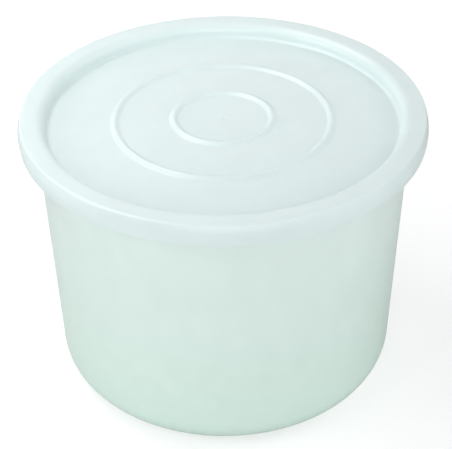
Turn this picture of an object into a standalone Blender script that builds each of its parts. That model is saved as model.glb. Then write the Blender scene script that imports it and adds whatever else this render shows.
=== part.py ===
"""Round storage tub with a press-on lid: two turned polyethylene mouldings.

Units are metres, +Z is up, and the origin is the centre of the tub's resting plane.
Run it with: blender --background --python part.py
"""

import math

import bmesh
import bpy
from mathutils import Matrix, Vector

MM = 0.001

# Fits between the two mouldings
SEAT_CLEARANCE = 0.3 * MM
PLUG_CLEARANCE = 0.35 * MM
SKIRT_CLEARANCE = 0.3 * MM

# Tub body
TUB_HEIGHT = 172.2 * MM
TUB_MOUTH_RADIUS = 109.6 * MM
TUB_BASE_RADIUS = 101.2 * MM
TUB_WALL = 2.5 * MM
TUB_FLOOR = 2.6 * MM
TUB_CORNER_RADIUS = 22.4 * MM

# Tub base: a resting ring round a centre that is lifted clear, with the gate's nub in its middle
BASE_RING_INNER_RADIUS = 58.0 * MM
BASE_STEP_WIDTH = 3.0 * MM
BASE_LIFT = 1.0 * MM
BASE_STEP_FILLET = 1.2 * MM
BASE_NUB_RADIUS = 2.5 * MM
BASE_NUB_HEIGHT = 0.5 * MM

# Tub rim: the mouth flares, turns outwards and hangs down as a lip
MOUTH_FLARE_DEPTH = 5.0 * MM
MOUTH_FLARE_GROWTH = 1.2 * MM
MOUTH_FLARE_FILLET = 6.0 * MM
RIM_REACH = 7.6 * MM
RIM_THICKNESS = 2.2 * MM
LIP_DROP = 9.2 * MM
RIM_OUTER_FILLET = 1.8 * MM
RIM_INNER_FILLET = 1.5 * MM
RIM_UNDERSIDE_FILLET = 1.0 * MM
LIP_EDGE_FILLET = 0.8 * MM

# Lid
LID_WALL = 2.0 * MM
CROWN_WALL = 2.15 * MM
PANEL_DEPTH = 8.55 * MM
SKIRT_DEPTH = 13.05 * MM
SKIRT_TOP_WALL = 2.3 * MM
SKIRT_BELLY_WALL = 2.5 * MM
SKIRT_EDGE_WALL = 2.15 * MM
SKIRT_BELLY_RISE = 4.5 * MM
COVE_WALL = 2.4 * MM
COVE_DRAFT = 0.4 * MM
CROWN_FALL = 0.5 * MM
SHOULDER_FILLET = 3.5 * MM
BELLY_FILLET = 9.0 * MM
SKIRT_EDGE_FILLET = 0.8 * MM
CREST_FILLET = 5.6 * MM
CREASE_FILLET = 1.6 * MM
CHANNEL_OUTER_FILLET = 1.5 * MM
CHANNEL_INNER_FILLET = 1.4 * MM
PLUG_FILLET = 2.4 * MM

# Lid beads and gate mark
SMALL_BEAD_RADIUS = 28.8 * MM
LARGE_BEAD_RADIUS = 63.5 * MM
BEAD_HALF_WIDTH = 3.3 * MM
BEAD_HEIGHT = 1.6 * MM
GROOVE_HALF_WIDTH = 2.4 * MM
GROOVE_DEPTH = 0.9 * MM
GATE_MARK_RADIUS = 1.8 * MM
GATE_MARK_DEPTH = 0.3 * MM

# Facets, and the largest share of a straight run that one arc may take
TURN_STEPS = 64
BIG_ARC_STEPS = 8
CREST_STEPS = 6
ARC_STEPS = 4
SMALL_ARC_STEPS = 2
TINY_ARC_STEPS = 1
BEAD_STEPS = 6
GROOVE_STEPS = 4
MERGE_DISTANCE = 0.01 * MM
ARC_RUN_SHARE = 0.75

# Colours, as 8-bit sRGB
TUB_COLOUR = (214, 236, 227)
LID_COLOUR = (219, 238, 236)
POLYETHYLENE_ROUGHNESS = 0.38
POLYETHYLENE_IOR = 1.51

# The sRGB transfer curve
SRGB_STEPS = 255
SRGB_TOE_SHARE = 0.04045
SRGB_TOE_SLOPE = 12.92
SRGB_OFFSET_SHARE = 0.055
SRGB_POWER = 2.4


def flare_start_height():
    """Height at which the straight wall turns into the flared mouth."""
    return TUB_HEIGHT - MOUTH_FLARE_DEPTH


def wall_outer_radius(height):
    """Outer radius of the drafted wall at a height above the resting plane."""
    share = height / flare_start_height()
    return TUB_BASE_RADIUS + (TUB_MOUTH_RADIUS - TUB_BASE_RADIUS) * share


def mouth_inner_radius(height):
    """Inner radius of the flared mouth's face, carried on past both of its ends."""
    rise = height - flare_start_height()
    return TUB_MOUTH_RADIUS - TUB_WALL + MOUTH_FLARE_GROWTH * rise / MOUTH_FLARE_DEPTH


def lip_outer_radius():
    """Outer radius of the tub's hanging lip."""
    return TUB_MOUTH_RADIUS + RIM_REACH


def skirt_inner_radius():
    """Inner radius of the lid's skirt, which passes over the tub's lip."""
    return lip_outer_radius() + SKIRT_CLEARANCE


def fillet_arc(before, corner, after, radius, steps):
    """Points of the arc that rounds a corner between two straight runs.

    The radius is limited so that the arc takes no more than its share of either run.
    """
    to_before = (before - corner).normalized()
    to_after = (after - corner).normalized()
    half_angle = to_before.angle(to_after) / 2
    reach = radius / math.tan(half_angle)
    longest = min((before - corner).length, (after - corner).length) * ARC_RUN_SHARE
    if reach > longest:
        reach = longest
    radius = reach * math.tan(half_angle)
    bisector = (to_before + to_after).normalized()
    centre = corner + bisector * (radius / math.sin(half_angle))
    start = corner + to_before * reach - centre
    end = corner + to_after * reach - centre
    turn = start.angle_signed(end)
    return [centre + Matrix.Rotation(-turn * step / steps, 2) @ start for step in range(steps + 1)]


def rounded_outline(corners):
    """Turn (radius, height, fillet, steps) corners into points; a fillet of zero keeps the corner."""
    places = [Vector((radius, height)) for radius, height, _, _ in corners]
    points = []
    for index, (_, _, fillet, steps) in enumerate(corners):
        if fillet == 0:
            points.append(places[index])
        else:
            points += fillet_arc(places[index - 1], places[index], places[index + 1], fillet, steps)
    return points


def ring_bump(centre, half_width, rise, base, steps):
    """Corners of a smooth raised (or, with a negative rise, sunk) ring, from its inner to its outer foot."""
    corners = []
    for step in range(steps + 1):
        across = 2 * step / steps - 1
        height = base + rise * (1 + math.cos(math.pi * across)) / 2
        corners.append((centre + half_width * across, height, 0, 0))
    return corners


def tub_outline():
    """Half section of the tub: inner floor, inner wall, rim, lip, outer wall, base."""
    floor_top = TUB_FLOOR
    inner_corner = TUB_CORNER_RADIUS - TUB_WALL
    step_foot = BASE_RING_INNER_RADIUS
    step_top = BASE_RING_INNER_RADIUS - BASE_STEP_WIDTH
    flare_start = flare_start_height()
    rim_underside = TUB_HEIGHT - RIM_THICKNESS
    lip_bottom = TUB_HEIGHT - LIP_DROP
    lip_inner = lip_outer_radius() - RIM_THICKNESS
    inside = [
        (0, floor_top + BASE_LIFT, 0, 0),
        (step_top, floor_top + BASE_LIFT, BASE_STEP_FILLET, TINY_ARC_STEPS),
        (step_foot, floor_top, BASE_STEP_FILLET, TINY_ARC_STEPS),
        (wall_outer_radius(floor_top) - TUB_WALL, floor_top, inner_corner, BIG_ARC_STEPS),
        (mouth_inner_radius(flare_start), flare_start, MOUTH_FLARE_FILLET, SMALL_ARC_STEPS),
    ]
    rim = [
        (mouth_inner_radius(TUB_HEIGHT), TUB_HEIGHT, RIM_INNER_FILLET, ARC_STEPS),
        (lip_outer_radius(), TUB_HEIGHT, RIM_OUTER_FILLET, ARC_STEPS),
        (lip_outer_radius(), lip_bottom, LIP_EDGE_FILLET, SMALL_ARC_STEPS),
        (lip_inner, lip_bottom, LIP_EDGE_FILLET, SMALL_ARC_STEPS),
        (lip_inner, rim_underside, RIM_UNDERSIDE_FILLET, SMALL_ARC_STEPS),
        (mouth_inner_radius(rim_underside) + TUB_WALL, rim_underside, RIM_UNDERSIDE_FILLET, SMALL_ARC_STEPS),
    ]
    outside = [
        (TUB_MOUTH_RADIUS, flare_start, MOUTH_FLARE_FILLET, SMALL_ARC_STEPS),
        (TUB_BASE_RADIUS, 0, TUB_CORNER_RADIUS, BIG_ARC_STEPS),
        (step_foot, 0, BASE_STEP_FILLET, TINY_ARC_STEPS),
        (step_top, BASE_LIFT, BASE_STEP_FILLET, TINY_ARC_STEPS),
        (BASE_NUB_RADIUS, BASE_LIFT, 0, 0),
        (BASE_NUB_RADIUS, BASE_LIFT - BASE_NUB_HEIGHT, 0, 0),
        (0, BASE_LIFT - BASE_NUB_HEIGHT, 0, 0),
    ]
    return rounded_outline(inside + rim + outside)


def lid_outline():
    """Half section of the lid about its seat, the plane of the tub's rim top."""
    roof = SEAT_CLEARANCE
    crest = roof + CROWN_WALL
    panel_top = crest - PANEL_DEPTH
    panel_underside = panel_top - LID_WALL
    skirt_bottom = crest - SKIRT_DEPTH
    belly = skirt_bottom + SKIRT_BELLY_RISE
    skirt_inner = skirt_inner_radius()

    def plug_face(height):
        return mouth_inner_radius(TUB_HEIGHT + height) - PLUG_CLEARANCE

    cove_foot = plug_face(panel_top) - COVE_WALL
    gate_mark = [
        (0, panel_top - GATE_MARK_DEPTH, 0, 0),
        (GATE_MARK_RADIUS, panel_top - GATE_MARK_DEPTH, 0, 0),
        (GATE_MARK_RADIUS + GATE_MARK_DEPTH, panel_top, 0, 0),
    ]
    beads = (
        ring_bump(SMALL_BEAD_RADIUS, BEAD_HALF_WIDTH, BEAD_HEIGHT, panel_top, BEAD_STEPS)
        + ring_bump(LARGE_BEAD_RADIUS, BEAD_HALF_WIDTH, BEAD_HEIGHT, panel_top, BEAD_STEPS)
    )
    outside = [
        (cove_foot, panel_top, CREASE_FILLET, SMALL_ARC_STEPS),
        (cove_foot + COVE_DRAFT, crest, CREST_FILLET, CREST_STEPS),
        (skirt_inner + SKIRT_TOP_WALL, crest - CROWN_FALL, SHOULDER_FILLET, ARC_STEPS),
        (skirt_inner + SKIRT_BELLY_WALL, belly, BELLY_FILLET, SMALL_ARC_STEPS),
        (skirt_inner + SKIRT_EDGE_WALL, skirt_bottom, SKIRT_EDGE_FILLET, SMALL_ARC_STEPS),
    ]
    channel = [
        (skirt_inner, skirt_bottom, SKIRT_EDGE_FILLET, SMALL_ARC_STEPS),
        (skirt_inner, roof, CHANNEL_OUTER_FILLET, ARC_STEPS),
        (plug_face(roof), roof, CHANNEL_INNER_FILLET, SMALL_ARC_STEPS),
        (plug_face(panel_underside), panel_underside, PLUG_FILLET, ARC_STEPS),
    ]
    grooves = (
        ring_bump(LARGE_BEAD_RADIUS, -GROOVE_HALF_WIDTH, GROOVE_DEPTH, panel_underside, GROOVE_STEPS)
        + ring_bump(SMALL_BEAD_RADIUS, -GROOVE_HALF_WIDTH, GROOVE_DEPTH, panel_underside, GROOVE_STEPS)
    )
    centre = [(0, panel_underside, 0, 0)]
    return rounded_outline(gate_mark + beads + outside + channel + grooves + centre)


def linear_channel(value):
    """One 8-bit sRGB channel as the linear value a shader takes."""
    share = value / SRGB_STEPS
    if share <= SRGB_TOE_SHARE:
        return share / SRGB_TOE_SLOPE
    return ((share + SRGB_OFFSET_SHARE) / (1 + SRGB_OFFSET_SHARE)) ** SRGB_POWER


def polyethylene(name, colour):
    """Satin natural polyethylene of a given colour."""
    material = bpy.data.materials.new(name)
    material.use_nodes = True
    shader = material.node_tree.nodes["Principled BSDF"]
    shader.inputs["Base Color"].default_value = (*[linear_channel(value) for value in colour], 1)
    shader.inputs["Roughness"].default_value = POLYETHYLENE_ROUGHNESS
    shader.inputs["Metallic"].default_value = 0
    shader.inputs["IOR"].default_value = POLYETHYLENE_IOR
    return material


def turned_piece(name, outline, height, material, collection, parent):
    """Object made by turning a half section about its own Z axis, placed at a height on the main axis."""
    profile = bmesh.new()
    vertices = [profile.verts.new((point.x, 0, point.y)) for point in outline]
    for first, second in zip(vertices, vertices[1:]):
        profile.edges.new((first, second))
    mesh = bpy.data.meshes.new(name)
    profile.to_mesh(mesh)
    profile.free()
    mesh.materials.append(material)

    piece = bpy.data.objects.new(name, mesh)
    collection.objects.link(piece)
    piece.parent = parent
    piece.location = (0, 0, height)

    turn = piece.modifiers.new("Turn", "SCREW")
    turn.axis = "Z"
    turn.angle = math.tau
    turn.steps = TURN_STEPS
    turn.render_steps = TURN_STEPS
    turn.use_smooth_shade = True
    turn.use_merge_vertices = True
    turn.merge_threshold = MERGE_DISTANCE
    return piece


def clear_scene():
    """Remove every object that the file holds."""
    for item in list(bpy.data.objects):
        bpy.data.objects.remove(item, do_unlink=True)


def main():
    """Build the tub and its lid in a collection of their own."""
    clear_scene()
    collection = bpy.data.collections.new("storage_tub")
    bpy.context.scene.collection.children.link(collection)
    base = bpy.data.objects.new("storage_tub_base", None)
    collection.objects.link(base)

    tub_material = polyethylene("tub_polyethylene", TUB_COLOUR)
    lid_material = polyethylene("lid_polyethylene", LID_COLOUR)
    turned_piece("tub", tub_outline(), 0, tub_material, collection, base)
    turned_piece("lid", lid_outline(), TUB_HEIGHT, lid_material, collection, base)


main()
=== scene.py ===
"""Studio picture of a round polyethylene storage tub with its press-on lid.

Both mouldings are turned about +Z from half sections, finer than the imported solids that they
stand for, and dressed as natural polyethylene: milky, faintly green, satin and a little
translucent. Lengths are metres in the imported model's own frame, and colours are 8-bit sRGB.
"""

import logging
import math
from dataclasses import dataclass, field
from enum import Enum

import bmesh
import bpy
from mathutils import Matrix, Vector, noise

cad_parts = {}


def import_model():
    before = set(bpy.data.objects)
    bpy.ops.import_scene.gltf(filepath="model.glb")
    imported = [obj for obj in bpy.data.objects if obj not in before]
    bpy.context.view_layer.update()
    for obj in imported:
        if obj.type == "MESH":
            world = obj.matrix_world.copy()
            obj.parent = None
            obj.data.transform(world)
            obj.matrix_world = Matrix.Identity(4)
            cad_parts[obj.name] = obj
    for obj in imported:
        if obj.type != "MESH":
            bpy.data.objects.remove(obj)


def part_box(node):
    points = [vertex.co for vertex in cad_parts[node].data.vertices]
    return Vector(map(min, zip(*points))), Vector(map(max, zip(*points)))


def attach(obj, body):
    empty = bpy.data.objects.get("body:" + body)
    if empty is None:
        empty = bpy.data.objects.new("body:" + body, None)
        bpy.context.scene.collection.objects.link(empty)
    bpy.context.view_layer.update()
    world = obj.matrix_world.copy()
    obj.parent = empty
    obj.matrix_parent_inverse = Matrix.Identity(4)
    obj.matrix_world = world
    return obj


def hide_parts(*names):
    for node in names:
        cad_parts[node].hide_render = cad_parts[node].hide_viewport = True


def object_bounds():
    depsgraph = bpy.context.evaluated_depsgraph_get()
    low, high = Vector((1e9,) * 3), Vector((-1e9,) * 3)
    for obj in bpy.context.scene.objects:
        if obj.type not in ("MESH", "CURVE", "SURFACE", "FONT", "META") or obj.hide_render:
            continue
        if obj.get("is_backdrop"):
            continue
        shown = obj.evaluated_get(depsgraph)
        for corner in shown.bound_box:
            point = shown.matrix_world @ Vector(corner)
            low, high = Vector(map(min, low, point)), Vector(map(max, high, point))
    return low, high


MM = 0.001

SRGB_TOP = 255
SRGB_KNEE = 0.04045
SRGB_SLOPE = 12.92
SRGB_OFFSET = 0.055
SRGB_POWER = 2.4

LOG = logging.getLogger("storage_tub")


@dataclass(frozen=True)
class Colour:
    """A colour as 8-bit sRGB channels."""

    red: float
    green: float
    blue: float

    @staticmethod
    def linear_channel(value: float) -> float:
        """Linear light of one channel.

        Args:
            value: The channel, from 0 to 255.

        Returns:
            The same channel as linear light, from 0 to 1.
        """
        share = value / SRGB_TOP
        if share <= SRGB_KNEE:
            return share / SRGB_SLOPE
        return ((share + SRGB_OFFSET) / (1 + SRGB_OFFSET)) ** SRGB_POWER

    def rgba(self) -> tuple[float, float, float, float]:
        """Linear red, green, blue and full alpha, as shader sockets take them."""
        channels = [self.linear_channel(value) for value in (self.red, self.green, self.blue)]
        return (*channels, 1.0)

    def scaled(self, share: float) -> "Colour":
        """The same colour with each channel multiplied by a share."""
        return Colour(self.red * share, self.green * share, self.blue * share)


WHITE = Colour(SRGB_TOP, SRGB_TOP, SRGB_TOP)


class Ray(Enum):
    """Outputs of the Light Path node that tell kinds of ray apart."""

    CAMERA = "Is Camera Ray"
    GLOSSY = "Is Glossy Ray"
    TRANSMISSION = "Is Transmission Ray"


class NodeBench:
    """Adds shader nodes to one node tree and links them."""

    def __init__(self, tree: bpy.types.NodeTree) -> None:
        """Start with an empty tree.

        Args:
            tree: The node tree to fill.
        """
        self.tree = tree
        self.tree.nodes.clear()

    def add(self, kind: str, **settings: object) -> bpy.types.Node:
        """Add a node and set its properties.

        Args:
            kind: Blender's type name of the node.
            **settings: Property names and their values.

        Returns:
            The new node.
        """
        node = self.tree.nodes.new(kind)
        for name, value in settings.items():
            setattr(node, name, value)
        return node

    def feed(self, node: bpy.types.Node, **inputs: object) -> bpy.types.Node:
        """Set or link a node's inputs by name, with spaces written as underscores.

        Args:
            node: The node whose inputs are fed.
            **inputs: A socket to link from, or a plain value to set.

        Returns:
            The same node.
        """
        for name, source in inputs.items():
            socket = node.inputs[name.replace("_", " ")]
            if isinstance(source, bpy.types.NodeSocket):
                self.tree.links.new(source, socket)
            else:
                socket.default_value = source
        return node

    def math(self, operation: str, *terms: object) -> bpy.types.NodeSocket:
        """Combine sockets and numbers with a Math node.

        Args:
            operation: Blender's name of the operation.
            *terms: Sockets to link from, or plain numbers, in order.

        Returns:
            The result's socket.
        """
        node = self.add("ShaderNodeMath", operation=operation)
        for socket, term in zip(node.inputs, terms):
            if isinstance(term, bpy.types.NodeSocket):
                self.tree.links.new(term, socket)
            else:
                socket.default_value = term
        return node.outputs[0]

    def remap(
        self,
        source: bpy.types.NodeSocket,
        before: tuple[float, float],
        after: tuple[float, float],
        smooth: bool = False,
    ) -> bpy.types.NodeSocket:
        """Map a value from one range to another, held at both ends.

        Args:
            source: The value's socket.
            before: Its range.
            after: The range that it is mapped to.
            smooth: Whether the change eases in and out.

        Returns:
            The mapped value's socket.
        """
        interpolation = "SMOOTHSTEP" if smooth else "LINEAR"
        node = self.add("ShaderNodeMapRange", interpolation_type=interpolation)
        self.feed(
            node,
            Value=source,
            From_Min=before[0],
            From_Max=before[1],
            To_Min=after[0],
            To_Max=after[1],
        )
        return node.outputs["Result"]

    def noise(
        self,
        place: bpy.types.NodeSocket,
        scale: float,
        detail: float = 2.0,
        roughness: float = 0.5,
    ) -> bpy.types.NodeSocket:
        """Noise from 0 to 1 at a place.

        Args:
            place: The place's socket.
            scale: How many features a unit of the place holds.
            detail: How many finer octaves are added.
            roughness: How strong the finer octaves are.

        Returns:
            The noise's socket.
        """
        node = self.add("ShaderNodeTexNoise")
        self.feed(node, Vector=place, Scale=scale, Detail=detail, Roughness=roughness)
        return node.outputs["Fac"]

    def blend(
        self, share: bpy.types.NodeSocket, first: object, second: object
    ) -> bpy.types.NodeSocket:
        """Mix two colours.

        Args:
            share: Socket of the second colour's share.
            first: Socket or linear value of the first colour.
            second: Socket or linear value of the second colour.

        Returns:
            The mixed colour's socket.
        """
        node = self.add("ShaderNodeMix", data_type="RGBA")
        self.tree.links.new(share, node.inputs["Factor"])
        for socket, colour in zip((node.inputs["A"], node.inputs["B"]), (first, second)):
            if isinstance(colour, bpy.types.NodeSocket):
                self.tree.links.new(colour, socket)
            else:
                socket.default_value = colour
        return node.outputs["Result"]

    def any_ray(self, *rays: Ray) -> bpy.types.NodeSocket:
        """One where the ray is of any of the kinds given, and zero elsewhere.

        Args:
            *rays: The kinds of ray.

        Returns:
            The socket of that value.
        """
        path = self.add("ShaderNodeLightPath")
        found = path.outputs[rays[0].value]
        for ray in rays[1:]:
            found = self.math("MAXIMUM", found, path.outputs[ray.value])
        return found


@dataclass(frozen=True)
class Corner:
    """One corner of a half section and the fillet that rounds it."""

    radius: float
    height: float
    fillet: float = 0.0

    def place(self) -> Vector:
        """The corner as a point in the section's plane."""
        return Vector((self.radius, self.height))


@dataclass(frozen=True)
class TurningGauge:
    """How finely a half section is divided and turned."""

    turn_steps: int = 288
    arc_angle: float = math.radians(7)
    least_arc_steps: int = 4
    arc_run_share: float = 0.75
    run_pitch: float = 2.6 * MM
    bump_steps: int = 22


GAUGE = TurningGauge()


@dataclass(frozen=True)
class Dome:
    """A gentle rise towards the axis, level at its middle and at its edge.

    The first power says how flat its middle is, and the second how softly its edge runs out.
    """

    radius: float = 1.0
    height: float = 0.0
    middle_power: int = 3
    edge_power: int = 2

    def lifted(self, point: Vector) -> Vector:
        """A point of a half section moved up by the dome.

        Args:
            point: The point, as its radius and height.

        Returns:
            The lifted point.
        """
        share = min(1.0, point.x / self.radius)
        rise = self.height * (1 - share**self.middle_power) ** self.edge_power
        return Vector((point.x, point.y + rise))


class HalfSection:
    """Outline of a turned moulding in the plane through its axis."""

    def __init__(self, corners: list[Corner], dome: Dome = Dome()) -> None:
        """Keep the corners, from the axis round to the axis again.

        Args:
            corners: The outline's corners in order.
            dome: The rise of the outline's middle.
        """
        self.corners = corners
        self.dome = dome

    def rounded_corner(self, index: int) -> list[Vector]:
        """Points of the arc that rounds one corner.

        The arc takes no more than the gauge's share of either of the straight runs beside it.

        Args:
            index: The corner's place in the list.

        Returns:
            The arc's points, or the corner itself where it has no fillet.
        """
        corner = self.corners[index].place()
        fillet = self.corners[index].fillet
        if fillet == 0:
            return [corner]
        before = self.corners[index - 1].place() - corner
        after = self.corners[index + 1].place() - corner
        half_angle = before.angle(after) / 2
        longest = min(before.length, after.length) * GAUGE.arc_run_share
        reach = min(fillet / math.tan(half_angle), longest)
        radius = reach * math.tan(half_angle)
        bisector = (before.normalized() + after.normalized()).normalized()
        centre = corner + bisector * (radius / math.sin(half_angle))
        start = corner + before.normalized() * reach - centre
        end = corner + after.normalized() * reach - centre
        turn = start.angle_signed(end)
        steps = max(GAUGE.least_arc_steps, math.ceil(abs(turn) / GAUGE.arc_angle))
        turns = [Matrix.Rotation(-turn * step / steps, 2) for step in range(steps + 1)]
        return [centre + part @ start for part in turns]

    def points(self) -> list[Vector]:
        """All points of the outline, with its long straight runs divided.

        Returns:
            The points in order.
        """
        rounded = []
        for index in range(len(self.corners)):
            rounded += self.rounded_corner(index)
        divided = [rounded[0]]
        for point in rounded[1:]:
            start = divided[-1]
            parts = max(1, math.ceil((point - start).length / GAUGE.run_pitch))
            divided += [start.lerp(point, part / parts) for part in range(1, parts + 1)]
        return [self.dome.lifted(point) for point in divided]


def ring_bump(centre: float, half_width: float, rise: float, base: float) -> list[Corner]:
    """Corners of a smooth raised ring, or with a negative rise of a sunk one.

    Args:
        centre: Radius of the ring's middle.
        half_width: Half of its width, negative to run inwards.
        rise: Its height above the base.
        base: Height of the surface that carries it.

    Returns:
        The corners from the first foot to the other.
    """
    corners = []
    for step in range(GAUGE.bump_steps + 1):
        across = 2 * step / GAUGE.bump_steps - 1
        height = base + rise * (1 + math.cos(math.pi * across)) / 2
        corners.append(Corner(centre + half_width * across, height))
    return corners


@dataclass(frozen=True)
class MouldWarp:
    """The slight unevenness that a moulding takes on as it cools.

    The same gentle field and shrinkage move both mouldings, so they still fit each other. The
    seed keeps the field the same in every run.
    """

    reach: float = 0.07 * MM
    wavelength: float = 46 * MM
    foot: float = 14 * MM
    shrinkage: float = 0.0004
    seed: int = 5

    def shifted(self, point: Vector) -> Vector:
        """A point moved by the shrinkage and the warp, which fades out at the resting plane.

        Args:
            point: The point as moulded to size.

        Returns:
            The point as it comes out.
        """
        share = min(1.0, max(0.0, point.z / self.foot))
        shift = noise.noise_vector(point / self.wavelength) * self.reach * share
        return point * (1 - self.shrinkage) + shift


WARP = MouldWarp()


def turned_piece(name: str, section: HalfSection) -> bpy.types.Object:
    """A closed smooth piece turned about the Z axis.

    Args:
        name: The piece's name.
        section: Its half section, which starts and ends on the axis.

    Returns:
        The new object, at the origin.
    """
    shape = bmesh.new()
    rings = []
    for point in section.points():
        steps = 1 if point.x == 0 else GAUGE.turn_steps
        angles = [math.tau * step / steps for step in range(steps)]
        places = [
            Vector((point.x * math.cos(angle), point.x * math.sin(angle), point.y))
            for angle in angles
        ]
        rings.append([shape.verts.new(WARP.shifted(place)) for place in places])
    for first, second in zip(rings, rings[1:]):
        for step in range(GAUGE.turn_steps):
            after = (step + 1) % GAUGE.turn_steps
            if len(first) == 1:
                shape.faces.new((first[0], second[step], second[after]))
            elif len(second) == 1:
                shape.faces.new((first[step], second[0], first[after]))
            else:
                shape.faces.new((first[step], second[step], second[after], first[after]))
    bmesh.ops.recalc_face_normals(shape, faces=shape.faces)
    mesh = bpy.data.meshes.new(name)
    shape.to_mesh(mesh)
    shape.free()
    mesh.shade_smooth()
    piece = bpy.data.objects.new(name, mesh)
    bpy.context.scene.collection.objects.link(piece)
    return piece


@dataclass(frozen=True)
class HairlineSet:
    """Fine scratches that run one way.

    The scales say how many times finer the pattern is along X, Y and Z than one scratch is long.
    """

    scales: tuple[float, float, float]
    turn: float = 0.0


LEVEL_HAIRLINES = (
    HairlineSet(scales=(40.0, 1.0, 1.0), turn=0.7),
    HairlineSet(scales=(40.0, 1.0, 1.0), turn=-0.5),
    HairlineSet(scales=(40.0, 1.0, 1.0), turn=1.9),
)
UPRIGHT_HAIRLINES = (
    HairlineSet(scales=(40.0, 40.0, 1.0)),
    HairlineSet(scales=(1.0, 1.0, 40.0)),
)


@dataclass(frozen=True)
class PolyethyleneFinish:
    """Natural polyethylene as it leaves the mould and after some use.

    The sizes of its marks are wavelengths in metres, and that of the streaks is their width at
    the streak reach from the middle of the base. A span is the part of a noise's values that is
    stretched from none to all of what it drives.
    """

    name: str
    slot: str
    colour: Colour
    foot_colour: Colour
    fade_height: float = 160 * MM
    cloud_share: float = 0.985
    cloud_size: float = 60 * MM
    cloud_detail: float = 3.0
    streak_size: float = 9 * MM
    streak_reach: float = 100 * MM
    tint_span: tuple[float, float] = (0.7, 1.3)
    roughness: float = 0.295
    roughness_spread: float = 0.015
    drift_size: float = 30 * MM
    drift_detail: float = 4.0
    drift_roughness: float = 0.6
    drift_span: tuple[float, float] = (0.3, 0.7)
    index: float = 1.51
    subsurface: float = 0.15
    scatter_colour: tuple[float, float, float] = (1.0, 1.25, 1.15)
    scatter_reach: float = 2.6 * MM
    grain_size: float = 0.5 * MM
    grain_depth: float = 0.004 * MM
    hairline_length: float = 45 * MM
    hairline_detail: float = 1.0
    hairline_span: tuple[float, float] = (0.67, 0.77)
    hairline_depth: float = 0.0005 * MM
    level_slope: tuple[float, float] = (0.6, 0.8)
    wear_size: float = 28 * MM
    wear_span: tuple[float, float] = (0.4, 0.65)

    def material(self) -> bpy.types.Material:
        """Build the finish as a node material.

        Returns:
            The material.
        """
        material = bpy.data.materials.new(self.name)
        material.use_nodes = True
        bench = NodeBench(material.node_tree)
        place = bench.add("ShaderNodeTexCoord").outputs["Object"]
        hairlines = self.hairlines(bench, place)
        shader = bench.add("ShaderNodeBsdfPrincipled", subsurface_method="RANDOM_WALK")
        bench.feed(
            shader,
            Base_Color=self.tint(bench, place),
            Roughness=self.sheen(bench, place, hairlines),
            IOR=self.index,
            Subsurface_Weight=self.subsurface,
            Subsurface_Radius=self.scatter_colour,
            Subsurface_Scale=self.scatter_reach,
            Normal=self.relief(bench, place, hairlines),
        )
        output = bench.add("ShaderNodeOutputMaterial")
        bench.feed(output, Surface=shader.outputs["BSDF"])
        return material

    def tint(self, bench: NodeBench, place: bpy.types.NodeSocket) -> bpy.types.NodeSocket:
        """Colour that deepens towards the foot, with clouds and faint streaks from the gate.

        Args:
            bench: The material's node bench.
            place: Socket of the place on the piece.

        Returns:
            The colour's socket.
        """
        clouds = bench.noise(place, 1 / self.cloud_size, detail=self.cloud_detail)
        spread = bench.add("ShaderNodeVectorMath", operation="NORMALIZE")
        bench.feed(spread, Vector=place)
        streaks = bench.noise(spread.outputs["Vector"], self.streak_reach / self.streak_size)
        amount = bench.remap(bench.math("ADD", clouds, streaks), self.tint_span, (0.0, 1.0))
        split = bench.add("ShaderNodeSeparateXYZ")
        bench.feed(split, Vector=place)
        rise = bench.remap(split.outputs["Z"], (0.0, self.fade_height), (0.0, 1.0))
        foot, top = [
            bench.blend(amount, colour.scaled(self.cloud_share).rgba(), colour.rgba())
            for colour in (self.foot_colour, self.colour)
        ]
        return bench.blend(rise, foot, top)

    def scratches(
        self, bench: NodeBench, place: bpy.types.NodeSocket, sets: tuple[HairlineSet, ...]
    ) -> bpy.types.NodeSocket:
        """Strength of some sets of scratches, each the ridges of stretched noise.

        Args:
            bench: The material's node bench.
            place: Socket of the place on the piece.
            sets: The sets.

        Returns:
            The socket of a value from 0, unmarked, to 1, in a scratch.
        """
        found = None
        for hairline_set in sets:
            scale = Vector(hairline_set.scales) / self.hairline_length
            turned = bench.add("ShaderNodeVectorRotate", rotation_type="Z_AXIS")
            bench.feed(turned, Vector=place, Angle=hairline_set.turn)
            mapping = bench.add("ShaderNodeMapping", vector_type="POINT")
            bench.feed(mapping, Vector=turned.outputs["Vector"], Scale=scale)
            ridges = bench.noise(mapping.outputs["Vector"], 1.0, detail=self.hairline_detail)
            line = bench.remap(ridges, self.hairline_span, (0.0, 1.0))
            found = line if found is None else bench.math("MAXIMUM", found, line)
        return found

    def hairlines(self, bench: NodeBench, place: bpy.types.NodeSocket) -> bpy.types.NodeSocket:
        """Strength of the scratches that handling leaves, in worn patches.

        Level and upright faces have sets of their own, so every scratch runs along its face.

        Args:
            bench: The material's node bench.
            place: Socket of the place on the piece.

        Returns:
            The socket of a value from 0, unmarked, to 1, in a scratch.
        """
        split = bench.add("ShaderNodeSeparateXYZ")
        facing = bench.add("ShaderNodeTexCoord").outputs["Normal"]
        bench.feed(split, Vector=facing)
        steep = bench.math("ABSOLUTE", split.outputs["Z"])
        level = bench.remap(steep, self.level_slope, (0.0, 1.0))
        upright = bench.math("SUBTRACT", 1.0, level)
        level_set = self.scratches(bench, place, LEVEL_HAIRLINES)
        upright_set = self.scratches(bench, place, UPRIGHT_HAIRLINES)
        on_level = bench.math("MULTIPLY", level, level_set)
        on_upright = bench.math("MULTIPLY", upright, upright_set)
        wear = bench.noise(place, 1 / self.wear_size)
        worn = bench.remap(wear, self.wear_span, (0.0, 1.0), smooth=True)
        return bench.math("MULTIPLY", bench.math("ADD", on_level, on_upright), worn)

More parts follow.
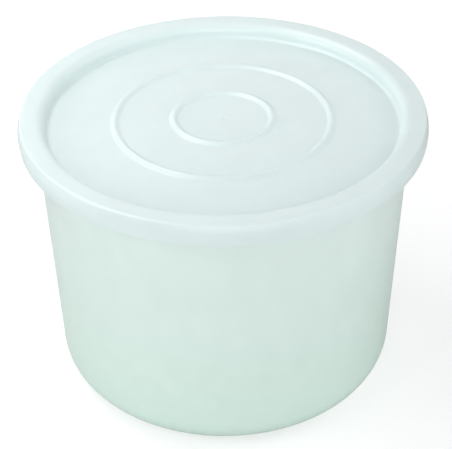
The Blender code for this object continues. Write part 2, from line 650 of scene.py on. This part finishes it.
    def sheen(
        self, bench: NodeBench, place: bpy.types.NodeSocket, hairlines: bpy.types.NodeSocket
    ) -> bpy.types.NodeSocket:
        """Roughness, which drifts over the surface and rises in the scratches.

        Args:
            bench: The material's node bench.
            place: Socket of the place on the piece.
            hairlines: Socket of the scratches' strength.

        Returns:
            The roughness socket.
        """
        drift = bench.noise(
            place, 1 / self.drift_size, detail=self.drift_detail, roughness=self.drift_roughness
        )
        low = self.roughness - self.roughness_spread
        high = self.roughness + self.roughness_spread
        base = bench.remap(drift, self.drift_span, (low, high))
        return bench.math("MULTIPLY_ADD", hairlines, self.roughness_spread, base)

    def relief(
        self, bench: NodeBench, place: bpy.types.NodeSocket, hairlines: bpy.types.NodeSocket
    ) -> bpy.types.NodeSocket:
        """Normal with the mould's fine satin grain and the scratches.

        Args:
            bench: The material's node bench.
            place: Socket of the place on the piece.
            hairlines: Socket of the scratches' strength.

        Returns:
            The normal's socket.
        """
        grain = bench.noise(place, 1 / self.grain_size)
        fine = bench.add("ShaderNodeBump")
        bench.feed(fine, Height=grain, Distance=self.grain_depth)
        scratched = bench.add("ShaderNodeBump", invert=True)
        bench.feed(scratched, Height=hairlines, Distance=self.hairline_depth)
        bench.feed(scratched, Normal=fine.outputs["Normal"])
        return scratched.outputs["Normal"]


@dataclass
class TubBody:
    """The tub: drafted wall, rounded base on a resting ring, outturned rim with a hanging lip."""

    finish: PolyethyleneFinish
    outer_radius: float
    height: float
    base_radius: float = 101.2 * MM
    wall: float = 2.5 * MM
    floor: float = 2.6 * MM
    corner_radius: float = 22.4 * MM
    ring_radius: float = 58 * MM
    ring_step: float = 3 * MM
    centre_lift: float = 1 * MM
    ring_fillet: float = 1.2 * MM
    nub_radius: float = 2.5 * MM
    nub_height: float = 0.5 * MM
    nub_fillet: float = 0.15 * MM
    flare_depth: float = 5 * MM
    flare_growth: float = 1.2 * MM
    flare_fillet: float = 6 * MM
    rim_reach: float = 7.6 * MM
    rim_thickness: float = 2.2 * MM
    lip_drop: float = 9.2 * MM
    rim_outer_fillet: float = 1.8 * MM
    rim_inner_fillet: float = 1.5 * MM
    underside_fillet: float = 1 * MM
    lip_edge_fillet: float = 0.8 * MM

    @classmethod
    def from_frame(cls, finish: PolyethyleneFinish) -> "TubBody":
        """Take the tub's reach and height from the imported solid.

        Args:
            finish: The tub's finish.

        Returns:
            The tub.
        """
        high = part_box("tub")[1]
        return cls(finish, outer_radius=high.x, height=high.z)

    @property
    def mouth_radius(self) -> float:
        """Outer radius of the wall where the mouth starts to flare."""
        return self.outer_radius - self.rim_reach

    @property
    def flare_start(self) -> float:
        """Height at which the straight wall turns into the flared mouth."""
        return self.height - self.flare_depth

    def wall_radius(self, height: float) -> float:
        """Outer radius of the drafted wall at a height."""
        draft = (self.mouth_radius - self.base_radius) / self.flare_start
        return self.base_radius + draft * height

    def mouth_face(self, height: float) -> float:
        """Inner radius of the flared mouth at a height, carried on past both ends of the flare."""
        rise = height - self.flare_start
        return self.mouth_radius - self.wall + self.flare_growth * rise / self.flare_depth

    def section(self) -> HalfSection:
        """The tub's half section: inside, rim, outside.

        Returns:
            The half section, from the inner floor's centre to the base's centre.
        """
        step_top = self.ring_radius - self.ring_step
        underside = self.height - self.rim_thickness
        lip_bottom = self.height - self.lip_drop
        lip_inner = self.outer_radius - self.rim_thickness
        nub_bottom = self.centre_lift - self.nub_height
        inner_wall = self.wall_radius(self.floor) - self.wall
        inside = [
            Corner(0, self.floor + self.centre_lift),
            Corner(step_top, self.floor + self.centre_lift, self.ring_fillet),
            Corner(self.ring_radius, self.floor, self.ring_fillet),
            Corner(inner_wall, self.floor, self.corner_radius - self.wall),
            Corner(self.mouth_face(self.flare_start), self.flare_start, self.flare_fillet),
        ]
        rim = [
            Corner(self.mouth_face(self.height), self.height, self.rim_inner_fillet),
            Corner(self.outer_radius, self.height, self.rim_outer_fillet),
            Corner(self.outer_radius, lip_bottom, self.lip_edge_fillet),
            Corner(lip_inner, lip_bottom, self.lip_edge_fillet),
            Corner(lip_inner, underside, self.underside_fillet),
            Corner(self.mouth_face(underside) + self.wall, underside, self.underside_fillet),
        ]
        outside = [
            Corner(self.mouth_radius, self.flare_start, self.flare_fillet),
            Corner(self.base_radius, 0, self.corner_radius),
            Corner(self.ring_radius, 0, self.ring_fillet),
            Corner(step_top, self.centre_lift, self.ring_fillet),
            Corner(self.nub_radius, self.centre_lift, self.nub_fillet),
            Corner(self.nub_radius, nub_bottom, self.nub_fillet),
            Corner(0, nub_bottom),
        ]
        return HalfSection(inside + rim + outside)

    def build(self) -> bpy.types.Object:
        """Make the tub, dress it and let it ride on its body.

        Returns:
            The tub's object.
        """
        piece = turned_piece("tub_shell", self.section())
        piece.data.materials.append(self.finish.material())
        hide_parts("tub")
        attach(piece, "tub")
        return piece


@dataclass
class PressOnLid:
    """The lid: sunk panel with two ring beads, crown, bellied skirt, channel over the rim."""

    finish: PolyethyleneFinish
    tub: TubBody
    seat_clearance: float = 0.3 * MM
    plug_clearance: float = 0.35 * MM
    skirt_clearance: float = 0.3 * MM
    wall: float = 2 * MM
    crown_wall: float = 2.15 * MM
    panel_depth: float = 8.55 * MM
    panel_dome: float = 3 * MM
    skirt_depth: float = 13.05 * MM
    skirt_top_wall: float = 0.8 * MM
    skirt_belly_wall: float = 2.95 * MM
    skirt_edge_wall: float = 1.7 * MM
    skirt_belly_rise: float = 7 * MM
    cove_wall: float = 2.4 * MM
    cove_draft: float = 0.4 * MM
    crown_fall: float = 0.5 * MM
    shoulder_fillet: float = 1.3 * MM
    belly_fillet: float = 17 * MM
    edge_fillet: float = 0.8 * MM
    crest_fillet: float = 5.6 * MM
    crease_fillet: float = 2.4 * MM
    channel_outer_fillet: float = 1.5 * MM
    channel_inner_fillet: float = 1.4 * MM
    plug_fillet: float = 2.4 * MM
    bead_radii: tuple[float, float] = (28.8 * MM, 63.5 * MM)
    bead_half_width: float = 3.3 * MM
    bead_height: float = 1.6 * MM
    groove_half_width: float = 2.4 * MM
    groove_depth: float = 0.9 * MM
    gate_radius: float = 1.8 * MM
    gate_depth: float = 0.3 * MM
    gate_fillet: float = 0.12 * MM

    def plug_face(self, height: float) -> float:
        """Outer radius of the plug, which follows the tub's flared mouth."""
        return self.tub.mouth_face(height) - self.plug_clearance

    def section(self) -> HalfSection:
        """The lid's half section: top, skirt, channel, underside.

        Returns:
            The half section, from the gate mark to the underside's centre.
        """
        roof = self.tub.height + self.seat_clearance
        crest = roof + self.crown_wall
        shoulder = crest - self.crown_fall
        panel = crest - self.panel_depth
        underside = panel - self.wall
        skirt_bottom = crest - self.skirt_depth
        skirt_inner = self.tub.outer_radius + self.skirt_clearance
        skirt_belly = skirt_bottom + self.skirt_belly_rise
        cove_foot = self.plug_face(panel) - self.cove_wall
        gate = [
            Corner(0, panel - self.gate_depth),
            Corner(self.gate_radius, panel - self.gate_depth, self.gate_fillet),
            Corner(self.gate_radius + self.gate_depth, panel, self.gate_fillet),
        ]
        beads = []
        for radius in self.bead_radii:
            beads += ring_bump(radius, self.bead_half_width, self.bead_height, panel)
        outside = [
            Corner(cove_foot, panel, self.crease_fillet),
            Corner(cove_foot + self.cove_draft, crest, self.crest_fillet),
            Corner(skirt_inner + self.skirt_top_wall, shoulder, self.shoulder_fillet),
            Corner(skirt_inner + self.skirt_belly_wall, skirt_belly, self.belly_fillet),
            Corner(skirt_inner + self.skirt_edge_wall, skirt_bottom, self.edge_fillet),
        ]
        channel = [
            Corner(skirt_inner, skirt_bottom, self.edge_fillet),
            Corner(skirt_inner, roof, self.channel_outer_fillet),
            Corner(self.plug_face(roof), roof, self.channel_inner_fillet),
            Corner(self.plug_face(underside), underside, self.plug_fillet),
        ]
        grooves = []
        for radius in reversed(self.bead_radii):
            grooves += ring_bump(radius, -self.groove_half_width, self.groove_depth, underside)
        middle = Corner(0, underside)
        corners = gate + beads + outside + channel + grooves + [middle]
        return HalfSection(corners, Dome(cove_foot, self.panel_dome))

    def build(self) -> bpy.types.Object:
        """Make the lid, dress it and let it ride on its body.

        Returns:
            The lid's object.
        """
        piece = turned_piece("lid_shell", self.section())
        piece.data.materials.append(self.finish.material())
        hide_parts("lid")
        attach(piece, "lid")
        return piece


@dataclass(frozen=True)
class PhotoCamera:
    """The photograph's camera, placed about the middle of the lid's crown.

    Angles are radians, and the focal length is in pixels of the 452 by 449 picture.
    """

    crown_height: float
    distance: float = 0.96
    elevation: float = math.radians(30.83)
    pitch: float = math.radians(34.828)
    yaw: float = 0.0011
    roll: float = -0.0134
    focal_pixels: float = 1642.0
    picture_width: int = 452
    sensor_width: float = 36.0
    clip_factor: float = 20.0

    def build(self) -> bpy.types.Object:
        """Make the camera and give it to the scene.

        Returns:
            The camera's object.
        """
        lens = bpy.data.cameras.new("photo_camera")
        lens.sensor_width = self.sensor_width
        lens.lens = self.focal_pixels * self.sensor_width / self.picture_width
        lens.clip_start = self.distance / self.clip_factor
        lens.clip_end = self.distance * self.clip_factor
        camera = bpy.data.objects.new("photo_camera", lens)
        back = self.distance * math.cos(self.elevation)
        up = self.crown_height + self.distance * math.sin(self.elevation)
        turn = (
            Matrix.Rotation(-self.yaw, 4, "Z")
            @ Matrix.Rotation(math.pi / 2 - self.pitch, 4, "X")
            @ Matrix.Rotation(self.roll, 4, "Z")
        )
        camera.matrix_world = Matrix.Translation((0, -back, up)) @ turn
        bpy.context.scene.collection.objects.link(camera)
        bpy.context.scene.camera = camera
        return camera


@dataclass(frozen=True)
class SoftLamp:
    """A square studio lamp that faces the tub, placed by its bearing about the tub's middle.

    Azimuth 0 is on the camera's side and 90 on the right, and angles are degrees.
    """

    name: str
    azimuth: float
    elevation: float
    watts: float
    distance: float = 1.7
    side: float = 1.4

    def build(self, target: Vector) -> bpy.types.Object:
        """Make the lamp.

        Args:
            target: The point that it faces.

        Returns:
            The lamp's object.
        """
        light = bpy.data.lights.new(self.name, "AREA")
        light.shape = "SQUARE"
        light.size = self.side
        light.energy = self.watts
        lamp = bpy.data.objects.new(self.name, light)
        azimuth = math.radians(self.azimuth)
        elevation = math.radians(self.elevation)
        out = math.cos(elevation)
        up = math.sin(elevation)
        bearing = Vector((math.sin(azimuth) * out, -math.cos(azimuth) * out, up))
        lamp.location = target + bearing * self.distance
        lamp.rotation_euler = bearing.to_track_quat("Z", "Y").to_euler()
        lamp.visible_camera = False
        bpy.context.scene.collection.objects.link(lamp)
        return lamp


@dataclass
class Studio:
    """The plain pale room: floor, sky and lamps.

    The floor lies just below the tub, so no two faces share a plane. To the camera it glows by
    the floor glow near the tub, and over the fade reach it turns to plain white.
    """

    lamp_target_height: float = 100 * MM
    floor_radius: float = 3.0
    floor_steps: int = 96
    floor_colour: Colour = Colour(238, 239, 238)
    floor_glow: float = 0.54
    floor_drop: float = 0.05 * MM
    fade_reach: tuple[float, float] = (0.25, 0.9)
    shadow_share: float = 0.6
    lamps: list[SoftLamp] = field(
        default_factory=lambda: [
            SoftLamp("front_lamp", 0, 12, 14.2),
            SoftLamp("front_right_lamp", 45, 12, 7.2),
            SoftLamp("right_lamp", 90, 12, 2.6),
            SoftLamp("high_right_lamp", 90, 40, 8.9),
            SoftLamp("back_right_lamp", 135, 12, 2.2),
            SoftLamp("back_lamp", 180, 40, 2.6),
            SoftLamp("back_left_lamp", -135, 12, 6.5),
            SoftLamp("key_lamp", -120, 60, 2.5, distance=0.8, side=0.4),
            SoftLamp("left_lamp", -70, 20, 1.8, distance=0.8, side=0.4),
            SoftLamp("high_left_lamp", -70, 60, 0.7, distance=0.8, side=0.4),
            SoftLamp("left_spot", -40, 47, 1.2, distance=1.4, side=0.12),
        ]
    )

    def floor(self) -> bpy.types.Object:
        """A wide disc that shows white under the tub's soft shadow.

        Returns:
            The floor's object.
        """
        shape = bmesh.new()
        bmesh.ops.create_circle(
            shape, cap_ends=True, segments=self.floor_steps, radius=self.floor_radius
        )
        mesh = bpy.data.meshes.new("studio_floor")
        shape.to_mesh(mesh)
        shape.free()
        floor = bpy.data.objects.new("studio_floor", mesh)
        floor.location.z = -self.floor_drop
        bpy.context.scene.collection.objects.link(floor)
        mesh.materials.append(self.floor_material())
        floor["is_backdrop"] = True
        return floor

    def floor_material(self) -> bpy.types.Material:
        """Matt paint that the camera sees lifted to white, apart from the shadow.

        Returns:
            The material.
        """
        material = bpy.data.materials.new("studio_floor")
        material.use_nodes = True
        bench = NodeBench(material.node_tree)
        paint = bench.add("ShaderNodeBsdfDiffuse")
        bench.feed(paint, Color=self.floor_colour.rgba())
        shade = bench.add("ShaderNodeBsdfDiffuse")
        bench.feed(shade, Color=(*[self.shadow_share] * 3, 1.0))
        place = bench.add("ShaderNodeTexCoord").outputs["Object"]
        reach = bench.add("ShaderNodeVectorMath", operation="LENGTH")
        bench.feed(reach, Vector=place)
        level = bench.remap(
            reach.outputs["Value"], self.fade_reach, (self.floor_glow, 1.0), smooth=True
        )
        glow = bench.add("ShaderNodeEmission")
        lift = bench.math("MULTIPLY", bench.any_ray(Ray.CAMERA, Ray.TRANSMISSION), level)
        bench.feed(glow, Color=WHITE.rgba(), Strength=lift)
        lifted = bench.add("ShaderNodeAddShader")
        bench.tree.links.new(shade.outputs["BSDF"], lifted.inputs[0])
        bench.tree.links.new(glow.outputs["Emission"], lifted.inputs[1])
        mix = bench.add("ShaderNodeMixShader")
        seen = bench.any_ray(Ray.CAMERA, Ray.GLOSSY, Ray.TRANSMISSION)
        bench.feed(mix, Fac=seen)
        bench.tree.links.new(paint.outputs["BSDF"], mix.inputs[1])
        bench.tree.links.new(lifted.outputs["Shader"], mix.inputs[2])
        output = bench.add("ShaderNodeOutputMaterial")
        bench.feed(output, Surface=mix.outputs["Shader"])
        return material

    def sky(self) -> bpy.types.World:
        """Surroundings that look white, also in reflections, and leave the light to the lamps.

        Returns:
            The world.
        """
        world = bpy.data.worlds.new("studio_sky")
        world.use_nodes = True
        bench = NodeBench(world.node_tree)
        seen = bench.any_ray(Ray.CAMERA, Ray.GLOSSY, Ray.TRANSMISSION)
        light = bench.add("ShaderNodeBackground")
        bench.feed(light, Color=WHITE.rgba(), Strength=seen)
        output = bench.add("ShaderNodeOutputWorld")
        bench.feed(output, Surface=light.outputs["Background"])
        bpy.context.scene.world = world
        return world

    def build(self) -> None:
        """Make the floor, the sky and the lamps."""
        self.floor()
        self.sky()
        target = Vector((0, 0, self.lamp_target_height))
        for lamp in self.lamps:
            lamp.build(target)
        bpy.context.scene.view_settings.view_transform = "Standard"


TUB_FINISH = PolyethyleneFinish(
    name="tub_polyethylene",
    slot="tub_polyethylene",
    colour=Colour(223, 238, 234),
    foot_colour=Colour(212, 235, 225),
)
LID_FINISH = PolyethyleneFinish(
    name="lid_polyethylene",
    slot="lid_polyethylene",
    colour=Colour(222, 237, 236),
    foot_colour=Colour(222, 237, 236),
)


def report(piece: bpy.types.Object) -> None:
    """Log a piece's name and how many faces it has."""
    LOG.info("%s: %d faces", piece.name, len(piece.data.polygons))


def main() -> None:
    """Build the tub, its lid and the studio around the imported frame."""
    logging.basicConfig(level=logging.INFO, format="%(name)s: %(message)s")
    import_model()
    cad_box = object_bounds()
    noise.seed_set(WARP.seed)

    tub = TubBody.from_frame(TUB_FINISH)
    report(tub.build())
    report(PressOnLid(LID_FINISH, tub).build())

    Studio().build()
    PhotoCamera(crown_height=cad_box[1].z).build()


if __name__ == "__main__":
    main()
